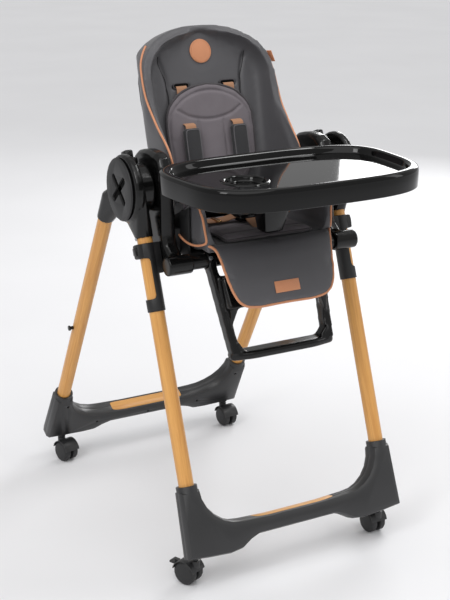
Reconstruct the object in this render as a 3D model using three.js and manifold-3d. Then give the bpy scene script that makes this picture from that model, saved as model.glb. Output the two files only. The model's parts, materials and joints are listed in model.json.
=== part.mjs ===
// A folding baby high chair: two leg frames hinged at side hubs, a seat
// carriage that slides on the front legs, a reclining back, a leg rest and a tray.
// Millimetres, +Z up. The child faces -Y, and "left" is the -X side.
import * as THREE from 'three';
import { mergeVertices } from 'three/addons/utils/BufferGeometryUtils.js';
import { ConvexGeometry } from 'three/addons/geometries/ConvexGeometry.js';
import { RoundedBoxGeometry } from 'three/addons/geometries/RoundedBoxGeometry.js';
import Module from 'manifold-3d';

const wasm = await Module();
wasm.setup();

// ---------------------------------------------------------------- driving dimensions
const GAP = 0.3;                 // left between pieces that touch
const ORIGIN_SHIFT = 54.86;      // from the middle of the wheelbase to the middle of the box

const PIVOT = { y: -118, z: 768 };   // hinge of the two leg frames
const FRONT_LEAN = 20;               // degrees from upright, feet forward
const REAR_LEAN = 29.3;              // degrees from upright, feet back
const LEG_R = 15.5;
const LEG_WALL = 1.5;
const FRONT_LEG_X = 228;
const REAR_LEG_X = 235;
const REAR_OFFSET = 76;              // rear legs lie this far behind the hinge
const FOLD = 40;                     // degrees the rear frame swings forward
const FRONT_SOCKET = 596;            // from the hinge down the leg to the base socket
const REAR_SOCKET = 705;
const LEG_GRIP = 76;                 // length of leg held in a base socket

const BASE_T = 46;
const BASE_ROUND = 13;
const BAR_TOP = 92;                  // crossbar, measured down from the socket top
const BAR_BOTTOM = 127;
const INLAY = { half: 95, r: 13.5, t: 3 };
const FRONT_BASE_FLOOR = 64;         // height of the level undersides
const REAR_BASE_FLOOR = 58.5;

const WHEEL_R = 25;
const TRAIL = 18;                    // wheel axle behind the swivel stem
const STEM = { r: 5, top: 86 };
const CASTERS = [
  { name: 'front_left', x: -222, y: -348, turn: 25, base: 'front' },
  { name: 'front_right', x: 222, y: -348, turn: 2, base: 'front' },
  { name: 'rear_left', x: -224, y: 348, turn: 194, base: 'rear' },
  { name: 'rear_right', x: 224, y: 348, turn: 184, base: 'rear' },
];

const HUB = { across: 61, along: 65, y: 8.5, z: 3, brow: 6, out: 262, cover: 5.7, inner: 238 };
const RING = { r: 49, out: 236, inner: 210 };
const PIN_R = 7;

const SLIDER = { top: 110, bottom: 246, r: 18, inner: 203.3, window: [139, 221] };
const BRACKET = { out: 203, inner: 172 };
const TUBE = { y: -228, z: 634, r: 14 };

const HINGE = { y: -12, z: 655 };    // backrest hinge
const BACK_LEAN = 14.9;
const CUSHION_T = 41;
// wall thickness of the padding at each depth of the bucket
const BUCKET = [[38, 41], [30, 50], [24, 66], [18, 95], [15, 130], [14, 300]];
const PART_SLOPE = Math.tan(28.5 * Math.PI / 180);   // parting line of seat and back wings

const SEAT = { half: 150, front: -262, top: 671, bottom: 647.5 };
const TRAY = {
  half: 245, taper: 0.00029, front: -492, back: -179, top: 831, skirt: 789, floor: 816, rim: 20,
};
const CUP = { x: -110, y: -345, r: 38, depth: 9 };
const PRONG = { inner: 179, out: 193, bottom: 792, top: 804, end: -92, front: -400 };
const LEG_REST = { arm: 125, foot_y: -302, foot_z: 454, half: 121 };

// ---------------------------------------------------------------- finishes
const finish = (color, roughness, metalness = 0) =>
  new THREE.MeshStandardMaterial({ color, roughness, metalness });
const wood_film = finish(0xd0a063, 0.45);
const base_plastic = finish(0x3a3a3a, 0.55);
const matte_plastic = finish(0x363534, 0.6);
const gloss_plastic = finish(0x141414, 0.18);
const steel = finish(0x9a9c9e, 0.35, 1);
const leatherette = finish(0x626062, 0.5);
const quilt = finish(0x5c5658, 0.85);
const webbing = finish(0x2a2a2a, 0.8);
const wheel_plastic = finish(0x373737, 0.5);

// ---------------------------------------------------------------- shape helpers
const rad = THREE.MathUtils.degToRad;
const X = new THREE.Vector3(1, 0, 0);
const Y = new THREE.Vector3(0, 1, 0);
const Z = new THREE.Vector3(0, 0, 1);
const v2 = (x, y) => new THREE.Vector2(x, y);
const v3 = (x, y, z) => new THREE.Vector3(x, y, z);

function solid(geometry) {
  const bare = geometry.clone();
  bare.deleteAttribute('normal');
  bare.deleteAttribute('uv');
  const merged = mergeVertices(bare, 1e-3);
  return new wasm.Manifold(new wasm.Mesh({
    numProp: 3,
    vertProperties: new Float32Array(merged.attributes.position.array),
    triVerts: new Uint32Array(merged.index.array),
  }));
}

function geometry_of(body) {
  const mesh = body.getMesh();
  const geometry = new THREE.BufferGeometry();
  geometry.setAttribute('position', new THREE.BufferAttribute(mesh.vertProperties, 3));
  geometry.setIndex(new THREE.BufferAttribute(mesh.triVerts, 1));
  geometry.computeVertexNormals();
  return geometry;
}

const join = (...bodies) => bodies.reduce((a, b) => a.add(b));

// a straight round bar from a to b
function rod(a, b, r, sides = 24) {
  const along = b.clone().sub(a);
  const geometry = new THREE.CylinderGeometry(r, r, along.length(), sides);
  geometry.applyQuaternion(new THREE.Quaternion().setFromUnitVectors(Y, along.clone().normalize()));
  geometry.translate(...a.clone().add(b).multiplyScalar(0.5).toArray());
  return solid(geometry);
}

const rod_x = (x0, x1, y, z, r, sides) => rod(v3(x0, y, z), v3(x1, y, z), r, sides);
const rod_z = (x, y, z0, z1, r, sides) => rod(v3(x, y, z0), v3(x, y, z1), r, sides);

function box(x0, x1, y0, y1, z0, z1) {
  const geometry = new THREE.BoxGeometry(x1 - x0, y1 - y0, z1 - z0);
  geometry.translate((x0 + x1) / 2, (y0 + y1) / 2, (z0 + z1) / 2);
  return solid(geometry);
}

// a box between two distances from the middle, on one side
function side_box(s, near, far, y0, y1, z0, z1) {
  return box(Math.min(s * near, s * far), Math.max(s * near, s * far), y0, y1, z0, z1);
}

function soft_box(x0, x1, y0, y1, z0, z1, r, steps = 2) {
  const geometry = new RoundedBoxGeometry(x1 - x0, y1 - y0, z1 - z0, steps, r);
  geometry.translate((x0 + x1) / 2, (y0 + y1) / 2, (z0 + z1) / 2);
  return solid(geometry);
}

// a flat outline pushed out by depth, its two faces rounded off inside the outline
function pushed(points, depth, round, steps) {
  return new THREE.ExtrudeGeometry(new THREE.Shape(points), {
    depth: depth - 2 * round,
    bevelEnabled: round > 0,
    bevelThickness: round,
    bevelSize: round,
    bevelOffset: -round,
    bevelSegments: steps,
  }).translate(0, 0, round);
}

// outline in (y, z) pushed along X, in (x, z) pushed along Y, in (x, y) pushed along Z
function side_form(points, x0, x1, round = 0, steps = 2) {
  const geometry = pushed(points, x1 - x0, round, steps);
  geometry.applyMatrix4(new THREE.Matrix4().makeBasis(Y, Z, X)).translate(x0, 0, 0);
  return solid(geometry);
}

function front_form(points, y0, y1, round = 0, steps = 2) {
  const geometry = pushed(points, y1 - y0, round, steps);
  const turn = new THREE.Matrix4().makeBasis(X, Z, Y.clone().negate());
  return solid(geometry.applyMatrix4(turn).translate(0, y1, 0));
}

function plan_form(points, z0, z1, round = 0, steps = 2) {
  return solid(pushed(points, z1 - z0, round, steps).translate(0, 0, z0));
}

// a closed smooth line through a few points
function smooth(points, count) {
  const line = new THREE.CatmullRomCurve3(points.map(([a, b]) => v3(a, b, 0)), true, 'centripetal');
  return line.getSpacedPoints(count).slice(0, -1).map((p) => v2(p.x, p.y));
}

// a polygon with each corner rounded off
function rounded(points, r, steps = 3) {
  const corners = points.map(([a, b]) => v2(a, b));
  const line = [];
  corners.forEach((corner, i) => {
    const before = corners[(i + corners.length - 1) % corners.length];
    const after = corners[(i + 1) % corners.length];
    const start = corner.clone().add(before.clone().sub(corner).setLength(r));
    const end = corner.clone().add(after.clone().sub(corner).setLength(r));
    line.push(...new THREE.QuadraticBezierCurve(start, corner, end).getPoints(steps));
  });
  return line;
}

const ellipse = (cy, cz, ry, rz, count) => Array.from({ length: count }, (_, i) => {
  const a = 2 * Math.PI * i / count;
  return v2(cy + ry * Math.cos(a), cz + rz * Math.sin(a));
});

// rounded oblong outline: a super-ellipse
function oblong(cx, cy, rx, ry, power, count) {
  const soft = (c) => Math.sign(c) * Math.abs(c) ** (2 / power);
  return Array.from({ length: count }, (_, i) => {
    const a = 2 * Math.PI * (i + 0.5) / count;
    return v2(cx + rx * soft(Math.cos(a)), cy + ry * soft(Math.sin(a)));
  });
}

const hull = (points) => solid(new ConvexGeometry(points));

// points on the rim of a round bar, for hulls
function rim(centre, axis, r, count = 16) {
  const side = Math.abs(axis.x) > 0.9 ? Y : X;
  const other = axis.clone().cross(side);
  return Array.from({ length: count }, (_, i) => {
    const a = 2 * Math.PI * i / count;
    return centre.clone().addScaledVector(side, r * Math.cos(a)).addScaledVector(other, r * Math.sin(a));
  });
}

// ---------------------------------------------------------------- assembly helpers
const chair = new THREE.Group();
chair.position.y = ORIGIN_SHIFT;

function frame_at(y, z, lean) {
  const group = new THREE.Group();
  group.position.set(0, y, z);
  group.rotation.x = rad(lean);
  chair.add(group);
  return group;
}

function piece(name, body, look, parent = chair) {
  const mesh = new THREE.Mesh(geometry_of(body), look);
  mesh.name = name;
  parent.add(mesh);
  return mesh;
}

// a left piece and its mirror image
function pair(name, body, look, parent = chair) {
  piece(`${name}_left`, body, look, parent);
  piece(`${name}_right`, body, look, parent).scale.x = -1;
}

const front_frame = frame_at(PIVOT.y, PIVOT.z, -FRONT_LEAN);
const rear_frame = frame_at(PIVOT.y, PIVOT.z, REAR_LEAN);
const back_frame = frame_at(HINGE.y, HINGE.z, -BACK_LEAN);

// an upright body, given from the hub hinge, as it lies in a leaning leg frame
const leaned = (body, lean) => body.rotate([-lean, 0, 0]);

// ---------------------------------------------------------------- legs
function leg(x, y, top, bottom) {
  const inner = LEG_R - LEG_WALL;
  const wall = [v2(inner, -bottom), v2(LEG_R, -bottom), v2(LEG_R, -top), v2(inner, -top), v2(inner, -bottom)];
  const tube = new THREE.LatheGeometry(wall, 24);
  tube.rotateX(Math.PI / 2).translate(x, y, 0);
  return solid(tube);
}

const FRONT_LEG_TOP = 56;
const REAR_LEG_TOP = 85;
pair('front_leg', leg(-FRONT_LEG_X, 0, FRONT_LEG_TOP, FRONT_SOCKET + LEG_GRIP), wood_film, front_frame);
pair('rear_leg', leg(-REAR_LEG_X, REAR_OFFSET, REAR_LEG_TOP, REAR_SOCKET + LEG_GRIP), wood_film, rear_frame);

// ---------------------------------------------------------------- floor bases
// One moulding serves both frames: two corner blocks with a concave inside
// curve, and a slim crossbar that carries a wood strip on its crown.
function base_outline(leg_x, socket) {
  const curve = { x: 125, r: leg_x - 21 - 125, z: 10, h: BAR_TOP - 13 };
  const half = [[0, BAR_TOP], [60, BAR_TOP]];
  for (let i = 0; i <= 6; i += 1) {
    const a = Math.PI / 2 * (1 - i / 6);
    half.push([curve.x + curve.r * Math.cos(a), curve.z + curve.h * Math.sin(a)]);
  }
  half.push([leg_x + 21.5, curve.z], [leg_x + 26, 143], [leg_x - 23, 148], [leg_x - 68, 151]);
  half.push([leg_x - 96, 147], [leg_x - 118, 134], [leg_x - 138, BAR_BOTTOM], [0, BAR_BOTTOM]);
  const right = half.map(([x, s]) => v2(x, -socket - s));
  const left = half.slice(1, -1).reverse().map(([x, s]) => v2(-x, -socket - s));
  return [...right, ...left].reverse();
}

function both_sides(make) {
  return join(make(-1), make(1));
}

function base(side, frame, { lean, leg_x, y, socket, floor, inner }) {
  const block = front_form(base_outline(leg_x, socket), y - BASE_T / 2, y + BASE_T / 2, BASE_ROUND, 2);
  const sleeves = both_sides((s) => rod_z(s * leg_x, y, -socket - 90, -socket, LEG_R + 6, 24));
  const stems = CASTERS.filter((c) => c.base === side);
  const upright = (r, z0, z1) => join(...stems.map((c) =>
    leaned(rod_z(c.x, c.y - PIVOT.y, z0 - PIVOT.z, z1 - PIVOT.z, r, 12), lean)));
  const whole = join(block, sleeves, upright(STEM.r + 6, floor - 10, STEM.top + 8));
  const grip = -socket - LEG_GRIP - GAP;
  const bores = both_sides((s) => rod_z(s * leg_x, y, grip, -socket + 1, LEG_R + GAP, 24));
  const under = leaned(box(-400, 400, -600, 600, -PIVOT.z - 50, floor - PIVOT.z), lean);
  const strip = (grow) => {
    const line = oblong(0, y, INLAY.half + grow, INLAY.r + grow, 8, 20);
    return plan_form(line, -socket - BAR_TOP - 12, -socket - BAR_TOP + 20);
  };
  const dropped = (by) => block.translate([0, 0, -by]);
  const screws = join(...[-1.02, -0.62, 0, 0.62, 1.02].map((k) => {
    const depth = Math.abs(k) > 1 ? 30 : BAR_TOP + 18;
    const x = k * (leg_x - 12);
    const [open, end] = [y + inner * 60, y + inner * (BASE_T / 2 - 7)];
    return rod(v3(x, open, -socket - depth), v3(x, end, -socket - depth), 3.4, 8);
  }));
  const stem_bores = upright(STEM.r + GAP, floor - 20, STEM.top + 2);
  const shell = whole.subtract(bores).subtract(under).subtract(stem_bores)
    .subtract(strip(GAP).subtract(dropped(INLAY.t + GAP))).subtract(screws);
  const inlay = block.intersect(strip(0)).subtract(dropped(INLAY.t));
  const far = 400;
  const halves = {
    front: box(-far, far, -far, y - GAP / 2, -2 * far - 200, 0),
    back: box(-far, far, y + GAP / 2, far, -2 * far - 200, 0),
  };
  for (const [half, space] of Object.entries(halves)) {
    piece(`${side}_base_shell_${half}`, shell.intersect(space), base_plastic, frame);
  }
  piece(`${side}_base_inlay`, inlay, wood_film, frame);
}

base('front', front_frame, {
  lean: -FRONT_LEAN, leg_x: FRONT_LEG_X, y: 0, socket: FRONT_SOCKET, floor: FRONT_BASE_FLOOR, inner: 1,
});
base('rear', rear_frame, {
  lean: REAR_LEAN, leg_x: REAR_LEG_X, y: REAR_OFFSET, socket: REAR_SOCKET, floor: REAR_BASE_FLOOR, inner: -1,
});

// ---------------------------------------------------------------- casters
// Twin wheels on one axle run either side of the hood's centre web.
function caster_wheels() {
  const half = [[0, 20], [20, 19.4], [WHEEL_R, 15.5], [WHEEL_R, 6], [23.5, 3.9], [4, 3.9]];
  const profile = [...half.map(([r, x]) => v2(r, x)), ...half.reverse().map(([r, x]) => v2(r, -x))];
  const wheels = new THREE.LatheGeometry(profile.reverse(), 18);
  return solid(wheels.rotateZ(Math.PI / 2).translate(0, TRAIL, WHEEL_R));
}

function caster_hood(braked) {
  const guard_r = WHEEL_R + 2.3;
  const well = (x0, x1) => rod_x(x0, x1, TRAIL, WHEEL_R, WHEEL_R + 0.7, 20);
  const sector = [v2(TRAIL, WHEEL_R)];
  for (let i = 0; i <= 9; i += 1) {
    const a = rad(12 + 153 * i / 9);
    sector.push(v2(TRAIL + guard_r * Math.cos(a), WHEEL_R + guard_r * Math.sin(a)));
  }
  const shroud = side_form(sector, -19.5, 19.5);
  const boss = rod_z(0, 0, 38, 54, 9, 12);
  const web = side_form(sector, -3.4, 3.4);
  let hood = join(shroud, boss).subtract(well(3.4, 30)).subtract(well(-30, -3.4));
  hood = join(hood, web, rod_x(-3.4, 3.4, TRAIL, WHEEL_R, 9, 12), rod_z(0, 0, 50, STEM.top, STEM.r, 12));
  if (braked) {
    hood = hood.add(box(-3, 3, 40, 50.5, 33, 41)).subtract(rod_x(-4, 4, 47.5, 37, 2.3, 12));
  }
  return hood.subtract(rod_x(-5, 5, TRAIL, WHEEL_R, 4.6, 12));
}

function brake_lever() {
  const paddle = soft_box(-10, 10, 45, 60, 34, 39, 1.8, 1);
  const slot = box(-3.4, 3.4, 40, 52, 30, 45);
  return paddle.subtract(slot).add(rod_x(-6, 6, 47.5, 37, 2, 12));
}

for (const { name, x, y, turn, base: side } of CASTERS) {
  const mount = new THREE.Group();
  mount.position.set(x, y, 0);
  mount.rotation.z = rad(turn);
  chair.add(mount);
  piece(`caster_hood_${name}`, caster_hood(side === 'front'), wheel_plastic, mount);
  piece(`caster_wheels_${name}`, caster_wheels(), wheel_plastic, mount);
  if (side === 'front') piece(`brake_lever_${name.split('_')[1]}`, brake_lever(), wheel_plastic, mount);
}

// ---------------------------------------------------------------- hubs
// The front socket carries an oval head; the rear socket's ring turns on the
// same pin just inside it, and a matte cover with a cross recess closes it.
function hub_socket() {
  const out = -(HUB.out - HUB.cover - GAP);
  const [across, along] = [HUB.across + HUB.brow, HUB.along + HUB.brow / 2];
  const head = side_form(ellipse(HUB.y - HUB.brow, HUB.z, across, along, 32), out, -HUB.inner, 4, 1);
  const lower = [];
  for (const x of [out + 4, -HUB.inner]) {
    for (let i = 0; i <= 8; i += 1) {
      const a = rad(180 + 138 * i / 8);
      const wide = i < 4 ? 0.93 : 0.72;
      lower.push(v3(x, wide * across * Math.cos(a), 0.8 * along * Math.sin(a)));
    }
  }
  const leg_point = (s) => v3(-FRONT_LEG_X, 0, -s);
  const mouth = [...rim(leg_point(60), Z, LEG_R + 3, 20), ...rim(leg_point(99), Z, LEG_R + 2.2, 20)];
  const neck = hull([...lower, ...mouth]);
  const lug = soft_box(-HUB.inner - 4, -211, 4, 40, 40, 64, 3, 1);
  const turning = rod_x(-HUB.inner + 0.6, -150, 0, 0, RING.r + 2.5, 32);
  const folded = (angle) => rear_arm().rotate([REAR_LEAN - angle + FRONT_LEAN, 0, 0]);
  return join(head, neck, lug).subtract(turning).subtract(folded(FOLD)).subtract(folded(FOLD + 1))
    .subtract(rod_z(-FRONT_LEG_X, 0, -120, -FRONT_LEG_TOP + GAP, LEG_R + GAP, 24))
    .subtract(rod_x(-300, -200, 0, 0, PIN_R + GAP, 16))
    .subtract(box(-234.3, -215.7, 9.7, 34.3, 54.5, 90));
}

function hub_cover() {
  const oval = ellipse(HUB.y, HUB.z, HUB.across - 1.5, HUB.along - 1.5, 32);
  const disc = side_form(oval, -HUB.out, -HUB.out + HUB.cover, 2.5, 1);
  const arm = (turn) => {
    const bar = pushed(rounded([[-7.5, -38], [7.5, -38], [7.5, 38], [-7.5, 38]], 7, 2), 8, 0, 1);
    bar.rotateZ(rad(turn)).applyMatrix4(new THREE.Matrix4().makeBasis(Y, Z, X));
    bar.translate(-HUB.out - 3.4, HUB.y, HUB.z);
    return solid(bar);
  };
  return disc.subtract(arm(67)).subtract(arm(-27));
}

const hub_pin = join(
  rod_x(-255.6, -206, 0, 0, PIN_R, 16),
  rod_x(-209.7, -205.7, 0, 0, PIN_R + 4, 16),
);

function rear_arm() {
  const leg_point = (s) => v3(-REAR_LEG_X, REAR_OFFSET, -s);
  const knuckle = [-RING.out, -RING.inner - 2].flatMap((x) => rim(v3(x, 30, -16), X, 18, 14));
  const sleeve = [84, 144].flatMap((s) => rim(leg_point(s), Z, LEG_R + 3, 20));
  return hull([...knuckle, ...sleeve]);
}

function rear_socket() {
  const ring = rod_x(-RING.out, -RING.inner, 0, 0, RING.r, 32);
  const head_room = rod_x(-300, -RING.out - 1.3, 0, 0, HUB.along + HUB.y + 2, 24);
  return join(ring, rear_arm()).subtract(head_room)
    .subtract(rod_z(-REAR_LEG_X, REAR_OFFSET, -170, -REAR_LEG_TOP + GAP, LEG_R + GAP, 24))
    .subtract(rod_x(-300, -200, 0, 0, PIN_R + GAP, 16));
}

pair('hub_socket', hub_socket(), gloss_plastic, front_frame);
pair('hub_cover', hub_cover(), matte_plastic, front_frame);
pair('hub_pin', hub_pin, steel, front_frame);
pair('fold_button', soft_box(-234, -216, 10, 34, 60, 80, 3.5, 1), gloss_plastic, front_frame);
pair('rear_socket', rear_socket(), gloss_plastic, rear_frame);

const PEG_DOWN = 476;
const leg_side = -REAR_LEG_X - LEG_R - GAP;
const peg = join(
  rod_x(leg_side - 8, leg_side, REAR_OFFSET, -PEG_DOWN, 4, 10),
  rod_x(leg_side - 11, leg_side - 7.5, REAR_OFFSET, -PEG_DOWN, 6, 10),
);
pair('tray_peg', peg, gloss_plastic, rear_frame);

// ---------------------------------------------------------------- seat carriage
// Sliders run on the front legs. Each opens on its outer side, so the leg shows.
function slider() {
  const outline = ellipse(-FRONT_LEG_X, 0, SLIDER.r, SLIDER.r, 28);
  const sleeve = plan_form(outline, -SLIDER.bottom, -SLIDER.top, 0.8, 1);
  const bridge = soft_box(-FRONT_LEG_X, -SLIDER.inner, -15, 15, -SLIDER.top - 62, -SLIDER.top, 2, 1);
  const boss = soft_box(-252.5, -FRONT_LEG_X, -12, 12, -139, -SLIDER.top, 4, 1);
  const body = join(sleeve, bridge, boss);
  const [from, to] = SLIDER.window;
  const opening = soft_box(-300, -230.5, -40, 40, -to, -from, 7, 1);
  return body.subtract(rod_z(-FRONT_LEG_X, 0, -300, 0, LEG_R + GAP, 24))
    .subtract(opening)
    .subtract(box(-260, -247.4, -8.3, 8.3, -132.3, -115.7));
}

pair('slider', slider(), matte_plastic, front_frame);
pair('height_button', soft_box(-255, -250.2, -8, 8, -132, -116, 2, 1), gloss_plastic, front_frame);

function arm_bracket() {
  const outline = smooth([
    [-238, 624], [-200, 617], [-110, 622], [-64, 640], [-50, 700], [-43, 796], [-57, 827], [-86, 839],
    [-124, 843], [-163, 835], [-177, 804], [-181, 766], [-183, 716], [-188, 668], [-208, 652], [-240, 646],
  ], 38);
  const plate = side_form(outline, -BRACKET.out, -BRACKET.inner, 7, 1);
  const boss = rod_x(-219, -166, TUBE.y, TUBE.z, TUBE.r + 5.5, 24);
  const tube_seat = rod_x(-190, -160, TUBE.y, TUBE.z, TUBE.r + GAP, 24);
  const [below, above] = [PRONG.bottom - 0.5, PRONG.top + 0.5];
  const slot = box(-PRONG.out - 0.5, -PRONG.inner + 0.5, -200, PRONG.end + 6, below, above);
  return join(plate, boss).subtract(tube_seat).subtract(slot);
}

pair('arm_bracket', arm_bracket(), gloss_plastic);
piece('cross_tube', rod_x(-189, 189, TUBE.y, TUBE.z, TUBE.r, 24), gloss_plastic);

// the height of the line where the seat's wings meet the back's
const parting = (y) => HINGE.z + (HINGE.y - y) * PART_SLOPE;

function seat_shell() {
  const pan = box(-SEAT.half - 8, SEAT.half + 8, -206, -28, 638, 647);
  const wall = [[-206, 638], [-40, 638], [-40, parting(-40) - 6], [-206, parting(-206) - 20]];
  const walls = both_sides((s) => {
    const inner = s * (SEAT.half + 3);
    const out = s * (SEAT.half + 8);
    return side_form(rounded(wall, 4, 2), Math.min(inner, out), Math.max(inner, out));
  });
  const links = both_sides((s) => side_box(s, 156, 171.6, -170, -90, 638, 690));
  const lugs = both_sides((s) => {
    const barrel = rod_x(Math.min(s * 139, s * 149), Math.max(s * 139, s * 149), HINGE.y, HINGE.z, 10, 14);
    return join(barrel, side_box(s, 139, 149, -40, HINGE.y + 2, 638, HINGE.z));
  });
  const hinge_rod = rod_x(-151, 151, HINGE.y, HINGE.z, 5, 12);
  return join(pan, walls, links, lugs, hinge_rod);
}

piece('seat_shell', seat_shell(), matte_plastic);

function seat_cover() {
  const line = parting(-232) - 3;
  const side = [
    [SEAT.front, 655], [-218, 655], [-204, SEAT.bottom], [-48, SEAT.bottom],
    [-42, parting(-42) - 3], [-232, line], [-250, line - 16], [SEAT.front, 690],
  ];
  const body = side_form(side.map(([y, z]) => v2(y, z)), -SEAT.half, SEAT.half, 4, 1);
  const bucket = hull([[118, 0], [129, 9], [135, 40], [138, 230]].flatMap(([x, up]) =>
    [-400, 100].flatMap((y) => [v3(-x, y, SEAT.top + up), v3(x, y, SEAT.top + up)])));
  return body.subtract(bucket).subtract(both_sides((s) => rod_x(s * 137, s * 151, HINGE.y, HINGE.z, 12, 14)));
}

piece('seat_cover', seat_cover(), leatherette);
piece('seat_liner', soft_box(-104, 104, -260, -84, SEAT.top + GAP, 681, 4.5, 1), quilt);

// ---------------------------------------------------------------- harness on the seat
const buckle = { y: -158, z: 694 };
const around = (r, z0, z1, round) =>
  soft_box(-r, r, buckle.y - r, buckle.y + r, buckle.z + z0, buckle.z + z1, round, 1);
const buckle_case = soft_box(-25, 25, buckle.y - 17, buckle.y + 17, buckle.z - 8, buckle.z + 8, 5, 1);
piece('harness_buckle', buckle_case.subtract(around(9 + GAP, 0, 20, 1)), gloss_plastic);
piece('buckle_button', around(9, 3, 10, 1.2), gloss_plastic);

function strap(path) {
  const top = path.map(([y, z]) => v2(y, z + 1.6));
  return [...path.map(([y, z]) => v2(y, z)), ...top.reverse()];
}

piece('crotch_strap', side_form(strap([[-214, 681.4], [-196, 684], [-176, 692]]), -12.5, 12.5), webbing);

function lap_strap() {
  const path = [[-103, 692], [-76, 690], [-50, 690], [-25.4, 693]];
  return front_form(strap(path), buckle.y - 2, buckle.y + 20);
}

pair('lap_strap', lap_strap(), webbing);

// ---------------------------------------------------------------- backrest
// Built upright from its hinge: y is the depth, negative towards the child.
function back_outline(inset, bottom) {
  const arch = { z: 300, h: 105 - inset, w: 160 - inset };
  const half = [[146 - inset, bottom], [149 - inset, 130], [156 - inset, 215], [160 - inset, 262]];
  for (let i = 0; i <= 8; i += 1) {
    const a = Math.PI / 2 * i / 8;
    half.push([arch.w * Math.cos(a) ** 0.95, arch.z + arch.h * Math.sin(a) ** 0.95]);
  }
  const right = half.map(([x, z]) => v2(x, z));
  return [...right, ...half.slice(0, -1).reverse().map(([x, z]) => v2(-x, z))];
}

function back_cover() {
  const lower = (y) => -y * 0.242 + 3;
  const side = [
    v2(0, 16), v2(0, 372), v2(-6, 390), v2(-20, 402), v2(-46, 406), v2(-58, 398), v2(-78, 350),
    v2(-90, 270), v2(-104, 222), v2(-136, 172), v2(-157, 136), v2(-165, 96), v2(-165, lower(-165)),
    v2(-CUSHION_T, lower(-CUSHION_T)),
  ];
  const block = front_form(back_outline(0, 4), -170, 2, 9, 1);
  const profile = side_form(side, -200, 200);
  const ring = (inset, y) => back_outline(inset, -60).map((p) => v3(p.x, y, p.y));
  const bucket = hull(BUCKET.flatMap(([inset, depth]) => ring(inset, -depth)));
  const taper = [[132, 4], [152, -46], [170, -110], [170, -300]];
  const tapered = [...taper, ...taper.map(([x, y]) => [-x, y]).reverse()];
  const plan = plan_form(tapered.map(([x, y]) => v2(x, y)).reverse(), -50, 500);
  return block.intersect(profile).intersect(plan).subtract(bucket);
}

function back_shell() {
  const plate = front_form(back_outline(34, 16), 2.4, 18, 4, 1);
  const barrel = rod_x(-122, 122, 0, 0, 9, 14);
  const web = box(-108, 108, 0.5, 9, 3, 22);
  const grip = box(-46, 46, 18, 34, 286, 326);
  const pocket = box(-40.3, 40.3, 22, 60, 291.7, 314.3);
  return join(plate, barrel, web, grip).subtract(pocket).subtract(rod_x(-140, 140, 0, 0, 5.6, 12));
}

piece('back_shell', back_shell(), matte_plastic, back_frame);
piece('recline_handle', soft_box(-40, 40, 22.4, 38, 292, 308, 4, 1), gloss_plastic, back_frame);
piece('back_cover', back_cover(), leatherette, back_frame);

function back_liner() {
  const half = [[96, 20], [104, 80], [109, 170]];
  for (let i = 0; i <= 6; i += 1) {
    const a = Math.PI / 2 * i / 6;
    half.push([109 * Math.cos(a) ** 0.85, 196 + 92 * Math.sin(a) ** 0.85]);
  }
  const line = [...half, ...half.slice(0, -1).reverse().map(([x, z]) => [-x, z])];
  return front_form(line.map(([x, z]) => v2(x, z)), -CUSHION_T - 10, -CUSHION_T - GAP, 3.5, 1);
}

piece('back_liner', back_liner(), quilt, back_frame);

const STRAP_X = -56;
const strap_path = [[-53, 203], [-61, 200], [-65.5, 192], [-65, 90], [-72, 50]];

function band(y_grow, half_width, path) {
  const front = path.map(([y, z]) => v2(y - 0.8 - y_grow, z));
  const back = path.map(([y, z]) => v2(y + 0.8 + y_grow, z));
  return side_form([...back, ...front.reverse()].reverse(), STRAP_X - half_width, STRAP_X + half_width);
}

const shoulder_pad = soft_box(STRAP_X - 20, STRAP_X + 20, -73, -57.5, 92, 193, 5, 1)
  .subtract(band(GAP, 12.5 + GAP, strap_path));
pair('shoulder_strap', band(0, 12.5, strap_path), webbing, back_frame);
pair('shoulder_pad', shoulder_pad, webbing, back_frame);

// ---------------------------------------------------------------- leg rest
function leg_rest_frame() {
  const { arm, foot_y, foot_z, half } = LEG_REST;
  const slab = (s, outline, y0, y1) =>
    hull(outline.flatMap(([x, z]) => [v3(s * x, y0, z), v3(s * x, y1, z)]));
  const side = (s) => {
    const top = [-15, 15].flatMap((y) => [-10, 7].map((x) => v3(s * (arm + x), TUBE.y + y, TUBE.z - 4)));
    const low = [-14, 14].flatMap((y) => [-11, 7].map((x) => v3(s * (arm - 14 + x), foot_y + y, foot_z + 8)));
    const collar = rod(v3(s * (arm - 11), TUBE.y, TUBE.z), v3(s * (arm + 9), TUBE.y, TUBE.z), TUBE.r + 4, 24);
    const gusset = [[-247, 606], [-272, 604], [-300, 552], [-264, 536]];
    const web = hull(gusset.flatMap(([y, z]) => [v3(s * 96, y, z), v3(s * (arm - 8), y, z)]));
    const shoulder = slab(s, [[92, 556], [112, 556], [112, 506], [104, 530]], -298, -276);
    const corner = slab(s, [[84, foot_z + 5], [104, foot_z + 5], [104, foot_z + 32], [95, foot_z + 12]],
      foot_y - 10, foot_y + 14);
    return join(hull([...top, ...low]), collar, web, shoulder, corner);
  };
  const plate = hull([[-266, 606], [-272, 608], [-302, 552], [-296, 549]]
    .flatMap(([y, z]) => [v3(-114, y, z), v3(114, y, z)]));
  const foot = rounded([
    [-half, foot_y - 12], [-half * 0.6, foot_y - 21], [half * 0.6, foot_y - 21], [half, foot_y - 12],
    [half - 4, foot_y + 17], [4 - half, foot_y + 17],
  ], 9, 3);
  const bar = plan_form(foot, foot_z - 8, foot_z + 9, 6, 2);
  return join(side(-1), side(1), plate, bar).subtract(rod_x(-160, 160, TUBE.y, TUBE.z, TUBE.r + GAP, 24));
}

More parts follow.
